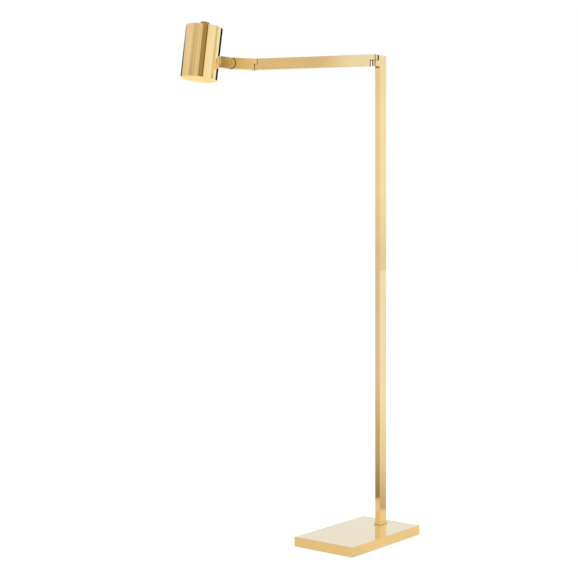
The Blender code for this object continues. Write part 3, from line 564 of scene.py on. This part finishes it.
def in_painted_shade(side, swing, dark_end=False):
    """Tests for the faces that take painted shade: the lap face and the concave shoulder, where a hinge's gap
    falls dark.

    With dark_end it also takes in the round end of the tongue, which lies deep in a close hinge and takes the
    painted shade too.
    """

    def lies_inside(centre, normal):
        flat = Vector((centre.x, centre.y))
        if flat.length > swing + SEAM:
            return False
        lap = abs(centre.z - side * SPLIT / 2) < SEAM
        hollow = flat.length > swing - EDGE / 2 and flat.dot(Vector((normal.x, normal.y))) < 0
        end = dark_end and centre.x < 0 and normal.x < -END_FACES and abs(normal.z) < END_FACES
        return lap or end or (hollow and side * centre.z < SPLIT)

    return lies_inside


def knuckle_cutters(depth, side, shoulder, nut_seat):
    """What a lapped hinge loses: the swing of the other tongue, the screw's hole and a seat at its end."""
    beyond = side * (depth / 2 + GAP)
    lap = side * SPLIT / 2
    seat = side * (depth / 2 - (HEAD_SEAT_DEPTH if side > 0 else nut_seat))
    radius = HEAD_SEAT_RADIUS if side > 0 else NUT_SEAT_RADIUS
    steps = [(0, -beyond), (shoulder, -beyond), (shoulder, lap), (SCREW_HOLE, lap)]
    steps += [(SCREW_HOLE, seat), (radius, seat), (radius, beyond), (0, beyond)]
    return [turned(steps, FINE)]


def grub_cutter(place, grub, axis, top):
    """The hole over a grub screw, in the coordinates of a fitting or a tube."""
    centre = centre_of(grub, place)
    centre["XYZ".index(axis)] = 0
    return rod(GRUB_HOLE, top - GRUB_LENGTH - 2 * GAP, top + WALL, axis=axis, centre=centre)


def bar_end(node, place, side, shoulder, tube, grub, axis="Z", nut_seat=BAR_NUT_SEAT):
    """A fitting on the end of a bar: its tongue, its shoulder and the spigot that enters the tube."""
    low, high = span(node, place)
    length = span(tube, place)[0].x - GAP
    half = (high.y - low.y) / 2
    depth = high.z - low.z
    mesh = with_spigot(slab(tongue_outline(half, length), low.z, high.z), high.x - length, WALL + GAP)
    radius = math.hypot(half, shoulder)
    cutters = knuckle_cutters(depth, side, radius, nut_seat)
    cutters.append(grub_cutter(place, grub, axis, half if axis == "Y" else depth / 2))
    # Painted shade: the lap face, the hollow shoulder and, at the elbow, the round end take near-black brass.
    inner = ("recess_brass", in_painted_shade(side, radius, shoulder == ELBOW_SHOULDER))
    piece(node, mesh, place, cutters, seams=[length], inner=inner)


def bar(node, place, grubs):
    """A rectangular tube with a hole in its top wall over each grub screw."""
    low, high = span(node, place)
    wall = Vector((-GAP, WALL, WALL))
    cutters = [block(low + wall, high - wall)]
    cutters += [grub_cutter(place, grub, "Z", high.z) for grub in grubs]
    reach = Vector((GAP - SEAM, 0, 0))
    low -= reach
    high += reach
    piece(node, block(low, high), place, cutters, seams=[low.x, high.x])


def build_stub():
    low, high = span("column_stub", stub_place)
    tube_side = span("column_tube", column_place)[0].y
    half = (high.y - low.y) / 2
    reach = (stub_place.inverted() @ (column_place @ Vector((0, tube_side, 0)))).x
    outside = reach - GAP
    inside = reach + WALL + GAP
    neck = half - WALL - SLIP - GAP
    core = half - WALL - GAP
    upper = [(outside, half), (outside, neck), (inside, neck), (inside, core), (high.x, core)]
    lower = [(x, -y) for x, y in upper]
    outline = arc(half, 90, 270, FINE // 2) + lower + upper[::-1]
    radius = math.hypot(half, STUB_SHOULDER)
    cutters = knuckle_cutters(high.z - low.z, -1, radius, BAR_NUT_SEAT)
    for screw in ("stub_screw_upper", "stub_screw_lower"):
        screw_low, screw_high = span(screw, stub_place)
        level = (screw_low.z + screw_high.z) / 2
        levels = (screw_low.x - GAP, screw_high.x + 2 * WALL)
        cutters.append(rod(GRUB_HOLE, *levels, axis="X", centre=(0, 0, level)))
    # Painted shade: the lap face and the hollow shoulder take near-black brass.
    inner = ("recess_brass", in_painted_shade(-1, radius))
    piece("column_stub", slab(outline, low.z, high.z), stub_place, cutters, seams=[outside], inner=inner)


def build_arm_and_link():
    bar_end("arm_column_fitting", arm_place, 1, ARM_SHOULDER, "arm_tube", "arm_column_grub")
    bar_end("arm_elbow_fitting", arm_end_place, -1, ELBOW_SHOULDER, "arm_tube", "arm_elbow_grub")
    bar_end("link_elbow_fitting", link_place, 1, ELBOW_SHOULDER, "link_tube", "link_elbow_grub")
    tilt_grub = ("link_tilt_grub", "Y", TILT_NUT_SEAT)
    bar_end("link_tilt_fitting", link_end_place, -1, TILT_SHOULDER, "link_tube", *tilt_grub)
    bar("arm_tube", arm_place, ("arm_column_grub", "arm_elbow_grub"))
    bar("link_tube", link_place, ("link_elbow_grub", "link_tilt_grub"))


# ================================================================ fasteners
def hexagon_radius(flats):
    return flats / 2 / math.cos(math.pi / 6)


def hinge_screw(node, place):
    """A socket screw: eased head, hexagonal socket, plain shank and a chamfered end."""
    low, high = span(node, place)
    head = (high.x - low.x) / 2
    shank = SCREW_HOLE - CLEARANCE
    under = high.z - SCREW_HEAD_HEIGHT
    chamfer = 0.0004
    profile = [(0, low.z), (shank - chamfer, low.z), (shank, low.z + chamfer), (shank, under)]
    profile += [(head, under), (head, high.z - chamfer), (head - chamfer, high.z), (0, high.z)]
    socket = rod(hexagon_radius(SOCKET_FLATS), high.z - SOCKET_DEPTH, high.z + GAP, sides=6)
    piece(node, turned(profile, FINE), place, [socket], FINE_EDGE, 2)


def hex_nut(node, place, axis="Z", hole=SCREW_HOLE):
    """A hexagonal nut whose corners are turned off at both faces."""
    low, high = span(node, place)
    along = "XYZ".index(axis)
    start = low[along]
    end = high[along]
    widest = max(high[other] - low[other] for other in range(3) if other != along) / 2
    flats = widest * math.cos(math.pi / 6)
    centre = (low + high) / 2
    centre[along] = 0
    slope = math.tan(math.radians(30))  # of the turned-off corners
    turn_off = (widest - flats) * slope
    mesh = rod(widest, start, end, sides=6, axis=axis, centre=centre)
    far = widest * 2
    rims = []
    for face, way in ((start, -1), (end, 1)):
        profile = [(flats, face), (far, face - way * (far - flats) * slope)]
        profile += [(far, face + way * turn_off), (flats, face + way * turn_off)]
        rims.append(turned(profile[::-1], 2 * SMALL, axis, centre))
    bore = rod(hole, start - GAP, end + GAP, sides=SMALL, axis=axis, centre=centre)
    piece(node, mesh, place, [bore, *rims], 0)


def washer(node, place, axis="Z", hole=SCREW_HOLE):
    low, high = span(node, place)
    along = "XYZ".index(axis)
    outer = max(high[other] - low[other] for other in range(3) if other != along) / 2
    centre = (low + high) / 2
    centre[along] = 0
    profile = [(hole, low[along]), (outer, low[along]), (outer, high[along]), (hole, high[along])]
    piece(node, turned(profile, FINE, axis, centre), place, edge=WASHER_EDGE, segments=2)


def build_hinge_hardware():
    pins = (
        ("column_hinge", Matrix.Translation(column_pin)),
        ("elbow_hinge", Matrix.Translation(elbow_pin)),
        ("tilt_hinge", neck_place),
    )
    for prefix, place in pins:
        hinge_screw(f"{prefix}_screw", place)
        hex_nut(f"{prefix}_nut", place)
        washer(f"{prefix}_friction_washer", place)
        washer(f"{prefix}_spring_washer", place)


# ================================================================ head
def build_neck():
    low, high = span("head_neck", neck_place)
    half = (high.y - low.y) / 2
    depth = high.z - low.z
    nipple_start = span("neck_nipple", neck_place)[0].x
    radius = math.hypot(half, TILT_SHOULDER)
    cutters = knuckle_cutters(depth, 1, radius, TILT_NUT_SEAT)
    cutters.append(rod(NIPPLE_HOLE, nipple_start - GAP, high.x + GAP, axis="X"))
    # Painted shade: the lap face and the hollow shoulder take near-black brass.
    inner = ("recess_brass", in_painted_shade(1, radius))
    piece("head_neck", slab(tongue_outline(half, high.x), low.z, high.z), neck_place, cutters, inner=inner)

    low, high = span("neck_boss", head_place)
    shade_low, shade_high = span("shade", head_axis_place)
    outer = (high.y - low.y) / 2
    reach = (head_place.inverted() @ knob_pin).x
    radius = (shade_high.y - shade_low.y) / 2 + GAP
    far = high.x + 2 * WALL
    profile = [(NIPPLE_HOLE, low.x), (outer - FINE_EDGE, low.x), (outer, low.x + FINE_EDGE)]
    profile += [(outer, far), (NIPPLE_HOLE, far)]
    cylinder = rod(radius, -outer - WALL, outer + WALL, sides=HEAD_SIDES, centre=(reach, 0, 0))
    piece("neck_boss", turned(profile, FINE, "X"), head_place, [cylinder], FINE_EDGE, 2)


def build_shade():
    """The spun cylinder: rounded shoulder, flat top with the switch's hole, thin lip at the mouth."""
    low, high = span("shade", head_axis_place)
    outer = (high.y - low.y) / 2
    inner = outer - SHADE_WALL
    ceiling = high.z - SHADE_WALL
    lip = SHADE_WALL / 2
    profile = [(SWITCH_BUSH, high.z)]
    profile += rounded((outer - RIM_EDGE, high.z - RIM_EDGE), RIM_EDGE, 90, 0)
    profile += rounded((outer - lip, low.z + lip), lip, 0, -180, 8)
    profile += rounded((inner - RIM_EDGE, ceiling - RIM_EDGE), RIM_EDGE, 0, 90)
    profile += [(SWITCH_BUSH, ceiling)]
    nipple = rod(NIPPLE_HOLE, -outer - SHADE_WALL, -inner + 2 * SHADE_WALL, axis="X")
    nipple_level = centre_of("neck_nipple", head_axis_place).z
    bmesh.ops.translate(nipple, verts=nipple.verts, vec=(0, 0, nipple_level))

    def lies_inside(centre, normal):
        return math.hypot(centre.x, centre.y) < outer - lip and centre.z < high.z - lip

    # The inside is pale satin brass with a painted glow of light.
    inner_finish = ("satin_brass_painted_glow", lies_inside)
    piece("shade", turned(profile, HEAD_SIDES), head_axis_place, [nipple], 0, inner=inner_finish)


def build_knob():
    """The turned knob: flat crown with an eased edge, two fine grooves round its side, hollow below."""
    low, high = span("switch_knob", head_axis_place)
    radius = (high.y - low.y) / 2
    edge = 0.0013
    groove = 0.00035
    shaft_low, shaft_high = span("switch_shaft", head_axis_place)
    bore = (shaft_high.y - shaft_low.y) / 2 + CLEARANCE
    hollow = 0.0085  # radius of the space below, which clears the switch's nut
    hollow_top = low.z + 0.004
    crown = radius * 0.72
    profile = [(hollow, low.z), (radius - groove, low.z), (radius, low.z + groove)]
    for share in (0.30, 0.42):
        level = low.z + (high.z - low.z) * share
        profile += [(radius, level - groove), (radius - groove, level), (radius, level + groove)]
    profile += rounded((radius - edge, high.z - edge), edge, 0, 90, 6)
    profile += [(crown, high.z), (crown - groove, high.z - groove), (crown - 2 * groove, high.z)]
    profile += [(0, high.z), (0, shaft_high.z + GAP), (bore, shaft_high.z + GAP)]
    profile += [(bore, hollow_top), (hollow, hollow_top)]
    level = centre_of("knob_grub", head_axis_place).z
    hole = rod(GRUB_HOLE, bore - GAP, radius + GAP, axis="X", centre=(0, 0, level))
    piece("switch_knob", turned(profile, 2 * FINE), head_axis_place, [hole], 0)


def build_lamp():
    """Porcelain holder with its ribs, the bulb's cap with its thread, and the glass globe."""
    low, high = span("lamp_holder", head_axis_place)
    outer = (high.y - low.y) / 2
    cavity = 0.0136
    cavity_top = low.z + 0.025
    rib = 0.0006
    profile = [(cavity, low.z), (outer - rib, low.z), (outer, low.z + rib)]
    groove = outer - rib
    first_groove = low.z + 0.006
    groove_pitch = 0.004
    for number in range(3):
        level = first_groove + number * groove_pitch
        profile += [(outer, level), (groove, level + rib)]
        profile += [(groove, level + 2 * rib), (outer, level + 3 * rib)]
    profile += [(outer, high.z - rib), (outer - rib, high.z), (0, high.z)]
    profile += [(0, cavity_top), (cavity, cavity_top)]
    cutters = []
    for screw in ("holder_screw_front", "holder_screw_back"):
        screw_low, screw_high = span(screw, head_axis_place)
        level = (screw_low.z + screw_high.z) / 2
        levels = (screw_low.x - GAP, screw_high.x + GAP)
        cutters.append(rod(GRUB_HOLE, *levels, axis="X", centre=(0, 0, level)))
    piece("lamp_holder", turned(profile, FINE), head_axis_place, cutters, 0)

    low, high = span("bulb_cap", head_axis_place)
    crest = (high.y - low.y) / 2
    root = crest - 0.0007
    turns = 6
    pitch = (high.z - low.z) / (turns + 1.5)
    profile = [(0, low.z), (root, low.z)]
    for number in range(turns):
        start = low.z + pitch * (number + 0.25)
        profile += [(root, start), (crest, start + pitch / 3)]
        profile += [(crest, start + pitch / 2), (root, start + 0.9 * pitch)]
    contact = 0.005
    profile += [(root, high.z - pitch), (contact, high.z - pitch / 4), (contact, high.z), (0, high.z)]
    piece("bulb_cap", turned(profile, FINE), head_axis_place, (), 0)

    low, high = span("bulb_globe", head_axis_place)
    radius = (high.y - low.y) / 2
    centre = low.z + radius
    neck = 0.013
    flare = math.degrees(math.asin((neck + 0.001) / radius))
    profile = [(0, high.z), (neck, high.z)]
    neck_end = centre + radius * math.cos(math.radians(flare)) + 0.004
    profile += [(neck, max(neck_end, centre + radius * 0.8))]
    profile += rounded((0, centre), radius, 90 - flare, -90, 40)[:-1]
    profile += [(0, low.z)]
    piece("bulb_globe", turned(profile, FINE), head_axis_place, (), 0)


def build_head_fasteners():
    hex_nut("neck_nut", head_place, "X", NIPPLE_HOLE)
    washer("neck_washer", head_place, "X", NIPPLE_HOLE)
    hex_nut("switch_nut", head_axis_place, "Z", SWITCH_BUSH)


def finish_plain_nodes():
    """Pieces that keep their CAD shape, most of them hidden inside, take their finish."""
    for node, shown in frame["nodes"].items():
        if shown.hide_render:
            continue
        finish = finishes[record_slot[node]]
        for slot in shown.material_slots:
            slot.material = finish
        if not shown.material_slots:
            shown.data.materials.append(finish)


# ================================================================ studio and camera
def math_of(tree, operation, *values):
    node = tree.nodes.new("ShaderNodeMath")
    node.operation = operation
    for socket, value in zip(node.inputs, values):
        feed(tree, socket, value)
    return node.outputs["Value"]


def mix_of(tree, kind, factor, first, second):
    node = tree.nodes.new("ShaderNodeMix")
    node.data_type = "RGBA"
    node.blend_type = kind
    feed(tree, node.inputs["Factor"], factor)
    feed(tree, node.inputs["A"], first)
    feed(tree, node.inputs["B"], second)
    return node.outputs["Result"]


def split_reflections(tree, plain, reflected):
    """One shader for what the camera and soft light see, another for what reflections see."""
    path = tree.nodes.new("ShaderNodeLightPath")
    choose = tree.nodes.new("ShaderNodeMixShader")
    for socket, value in zip(choose.inputs, (path.outputs["Is Glossy Ray"], plain, reflected)):
        tree.links.new(value, socket)
    return choose.outputs["Shader"]


WARMTH = (0.973, 0.899, 0.717)  # red, green and blue shares of the studio's warm light


def warm(*tone):
    """A tone in the studio's warm light."""
    return tuple(share * value for share, value in zip(WARMTH, tone))


REFLECTED_STRENGTH = 1.3
BACKDROP = (0.71, 0.75, 0.80)
CEILING = (0.72, 0.68, 0.54)
PALE = warm(0.77, 0.77, 0.77)
DEEP = warm(0.15, 0.12, 0.03)
WINDOW = warm(0.77, 0.88, 1.0)

# Tones of the studio's walls: degrees to the right of the way from the lamp back to the camera, then a colour.
WALLS = [
    (-179, BACKDROP),
    (-173, BACKDROP),
    (-168, PALE),
    (-130, PALE),
    (-122, warm(0.69, 0.66, 0.58)),
    (-75, warm(0.74, 0.75, 0.75)),
    (-54, warm(0.45, 0.41, 0.25)),
    (-42, warm(0.58, 0.55, 0.45)),
    (-23.2, warm(0.63, 0.58, 0.50)),
    (-22.4, WINDOW),
    (-21.2, WINDOW),
    (-20.4, warm(0.64, 0.60, 0.52)),
    (-4, warm(0.69, 0.65, 0.62)),
    (-2, warm(0.34, 0.28, 0.15)),
    (20, warm(0.33, 0.27, 0.14)),
    (25, DEEP),
    (28.4, DEEP),
    (29.3, warm(0.53, 0.46, 0.25)),
    (30.3, warm(0.73, 0.65, 0.48)),
    (32, warm(0.80, 0.82, 0.82)),
    (79, warm(0.815, 0.87, 0.93)),
    (88, warm(0.57, 0.56, 0.49)),
    (97, warm(0.60, 0.60, 0.54)),
    (105, warm(0.78, 0.83, 0.88)),
    (126, warm(0.85, 0.93, 0.95)),
    (168, PALE),
    (173, BACKDROP),
    (179, BACKDROP),
]

# Two black flags stand behind the lamp, one on each side. Both lists give what they leave of the light: the
# first by degrees from the way back to the camera, the second by degrees above the horizon. The brighter of
# the two counts.
FLAG_BLACK = 0.005
FLAGS = [(129.5, 1.0), (131.5, FLAG_BLACK), (171.0, FLAG_BLACK), (173.0, 1.0)]
FLAG_LEVELS = [(2, 1.0), (4, FLAG_BLACK), (12, FLAG_BLACK), (15, 1.0)]

# How far the even ceiling has taken over from the walls, by degrees above the horizon.
CEILING_SHARE = [(15, 0.0), (22, 1.0)]

# Share of the light by degrees above the horizon.
LEVELS = [
    (-90, 0.5),
    (-6, 0.75),
    (-2, 0.80),
    (0, 0.86),
    (3, 1.0),
    (6, 1.0),
    (9, 0.96),
    (25, 0.92),
    (50, 0.60),
    (90, 0.50),
]


def studio_world():
    """White for the camera and for soft light, and a studio of pale and dark walls for reflections."""
    world = bpy.data.worlds.new("studio")
    world.use_nodes = True
    bpy.context.scene.world = world
    tree = world.node_tree
    tree.nodes.clear()

    direction = tree.nodes.new("ShaderNodeTexCoord")
    turn = tree.nodes.new("ShaderNodeVectorRotate")
    turn.rotation_type = "Z_AXIS"
    turn.inputs["Angle"].default_value = math.radians(-CAMERA_TURN)
    tree.links.new(direction.outputs["Generated"], turn.inputs["Vector"])
    split = tree.nodes.new("ShaderNodeSeparateXYZ")
    tree.links.new(turn.outputs["Vector"], split.inputs["Vector"])
    x, y, z = split.outputs
    bearing = math_of(tree, "ARCTAN2", x, math_of(tree, "MULTIPLY", y, -1.0))
    around = math_of(tree, "MULTIPLY_ADD", bearing, 1 / (2 * math.pi), 0.5)
    aside = math_of(tree, "MULTIPLY", math_of(tree, "ABSOLUTE", bearing), 1 / math.pi)
    rise = math_of(tree, "MULTIPLY_ADD", math_of(tree, "ARCSINE", z), 1 / math.pi, 0.5)

    def by_height(stops):
        return ramp_of(tree, rise, [(0.5 + degrees / 180, tone) for degrees, tone in stops])

    walls = ramp_of(tree, around, [(0.5 + degrees / 360, tone) for degrees, tone in WALLS])
    flags = ramp_of(tree, aside, [(degrees / 180, tone) for degrees, tone in FLAGS])
    shades = mix_of(tree, "LIGHTEN", 1.0, flags, by_height(FLAG_LEVELS))
    tones = mix_of(tree, "MIX", by_height(CEILING_SHARE), walls, CEILING)
    tones = mix_of(tree, "MULTIPLY", 1.0, tones, by_height(LEVELS))
    tones = mix_of(tree, "MULTIPLY", 1.0, tones, shades)

    def background(colour, strength):
        node = tree.nodes.new("ShaderNodeBackground")
        feed(tree, node.inputs["Color"], colour)
        feed(tree, node.inputs["Strength"], strength)
        return node.outputs["Background"]

    output = tree.nodes.new("ShaderNodeOutputWorld")
    plain = background((1.0, 1.0, 1.0), 1.0)
    shader = split_reflections(tree, plain, background(tones, REFLECTED_STRENGTH))
    tree.links.new(shader, output.inputs["Surface"])


FLOOR_RADIUS = 40.0
FLOOR_DEPTH = 0.0002  # how far it lies below the lamp's pad
FLOOR_GLOW = 0.55
FLOOR_REACH = 8.0  # metres that the tones of the floor span
FLOOR_STRENGTH = 1.2
LIT_WAY = Vector((0.56, 0.83, 0))  # side of the lamp where the floor is brighter

# Tones of the floor in reflections: metres from the origin, then its colour on the dim and on the lit side.
FLOOR_TONES = [
    (0.36, warm(0.71, 0.67, 0.52), warm(0.78, 0.73, 0.59)),
    (0.41, warm(0.27, 0.26, 0.17), warm(0.50, 0.47, 0.40)),
    (1.07, warm(0.42, 0.43, 0.34), warm(0.71, 0.72, 0.67)),
    (2.07, warm(0.54, 0.53, 0.42), warm(0.82, 0.86, 0.87)),
    (3.70, warm(0.62, 0.66, 0.67), warm(0.83, 0.90, 1.0)),
]


def studio_floor():
    """A wide pale floor. In reflections it is bright round the base, dark a step away and pale far off."""
    mesh = bmesh.new()
    bmesh.ops.create_circle(mesh, cap_ends=True, segments=FINE, radius=FLOOR_RADIUS)
    floor = as_object("studio_floor", mesh, Matrix.Translation((0, 0, -FLOOR_DEPTH)))
    material, tree, shader = new_material("studio_floor")
    feed(tree, shader.inputs["Base Color"], patches(tree, 3.0, 0.50, 0.52))
    set_constants(shader, Roughness=1.0, Specular_IOR_Level=0.0)
    set_constants(shader, Emission_Color=(1, 1, 1, 1), Emission_Strength=FLOOR_GLOW)

    coordinates = tree.nodes.new("ShaderNodeTexCoord")
    length = tree.nodes.new("ShaderNodeVectorMath")
    length.operation = "LENGTH"
    along = tree.nodes.new("ShaderNodeVectorMath")
    along.operation = "DOT_PRODUCT"
    along.inputs[1].default_value = LIT_WAY
    for node in (length, along):
        tree.links.new(coordinates.outputs["Object"], node.inputs[0])
    distance = length.outputs["Value"]
    share = math_of(tree, "DIVIDE", distance, FLOOR_REACH)
    lit = math_of(tree, "DIVIDE", along.outputs["Value"], distance)
    sides = ramp_of(tree, math_of(tree, "MULTIPLY_ADD", lit, 0.5, 0.5), [(0.3, 0.0), (0.7, 1.0)])
    dim_tones = ramp_of(tree, share, [(metres / FLOOR_REACH, dim) for metres, dim, _ in FLOOR_TONES])
    lit_tones = ramp_of(tree, share, [(metres / FLOOR_REACH, bright) for metres, _, bright in FLOOR_TONES])
    glow = tree.nodes.new("ShaderNodeEmission")
    feed(tree, glow.inputs["Color"], mix_of(tree, "MIX", sides, dim_tones, lit_tones))
    feed(tree, glow.inputs["Strength"], FLOOR_STRENGTH)
    seen = split_reflections(tree, shader.outputs["BSDF"], glow.outputs["Emission"])
    tree.links.new(seen, tree.nodes["Material Output"].inputs["Surface"])
    floor.data.materials.append(material)


def soft_light(name, place, target, size, watts):
    light = bpy.data.lights.new(name, "AREA")
    light.shape = "RECTANGLE"
    light.size, light.size_y = size
    light.energy = watts
    lamp = bpy.data.objects.new(name, light)
    bpy.context.scene.collection.objects.link(lamp)
    lamp.location = place
    lamp.rotation_euler = (Vector(target) - Vector(place)).to_track_quat("-Z", "Y").to_euler()
    lamp.visible_glossy = False


def studio_lights():
    target = (-0.15, 0, 0.8)
    soft_light("soft_key", (-1.6, -2.6, 2.6), target, (2.0, 2.0), 60)
    soft_light("soft_fill", (2.6, 0.2, 2.0), target, (2.0, 2.0), 30)


def add_camera():
    forward = Vector((-math.sin(math.radians(CAMERA_TURN)), math.cos(math.radians(CAMERA_TURN)), 0))
    aside = Vector((forward.y, -forward.x, 0))
    data = bpy.data.cameras.new("camera")
    data.sensor_width = CAMERA_SENSOR
    data.lens = CAMERA_LENS
    data.shift_y = CAMERA_SHIFT
    camera = bpy.data.objects.new("camera", data)
    bpy.context.scene.collection.objects.link(camera)
    camera.location = UP * CAMERA_HEIGHT - forward * CAMERA_DISTANCE - aside * CAMERA_ASIDE
    camera.rotation_euler = (math.radians(90), 0, math.radians(CAMERA_TURN))
    bpy.context.scene.camera = camera
    bpy.context.scene.view_settings.view_transform = "Standard"


# ================================================================ assembly
make_finishes()
build_base()
build_column()
build_stub()
build_arm_and_link()
build_hinge_hardware()
build_neck()
build_shade()
build_knob()
build_lamp()
build_head_fasteners()
finish_plain_nodes()
studio_world()
studio_floor()
studio_lights()
add_camera()
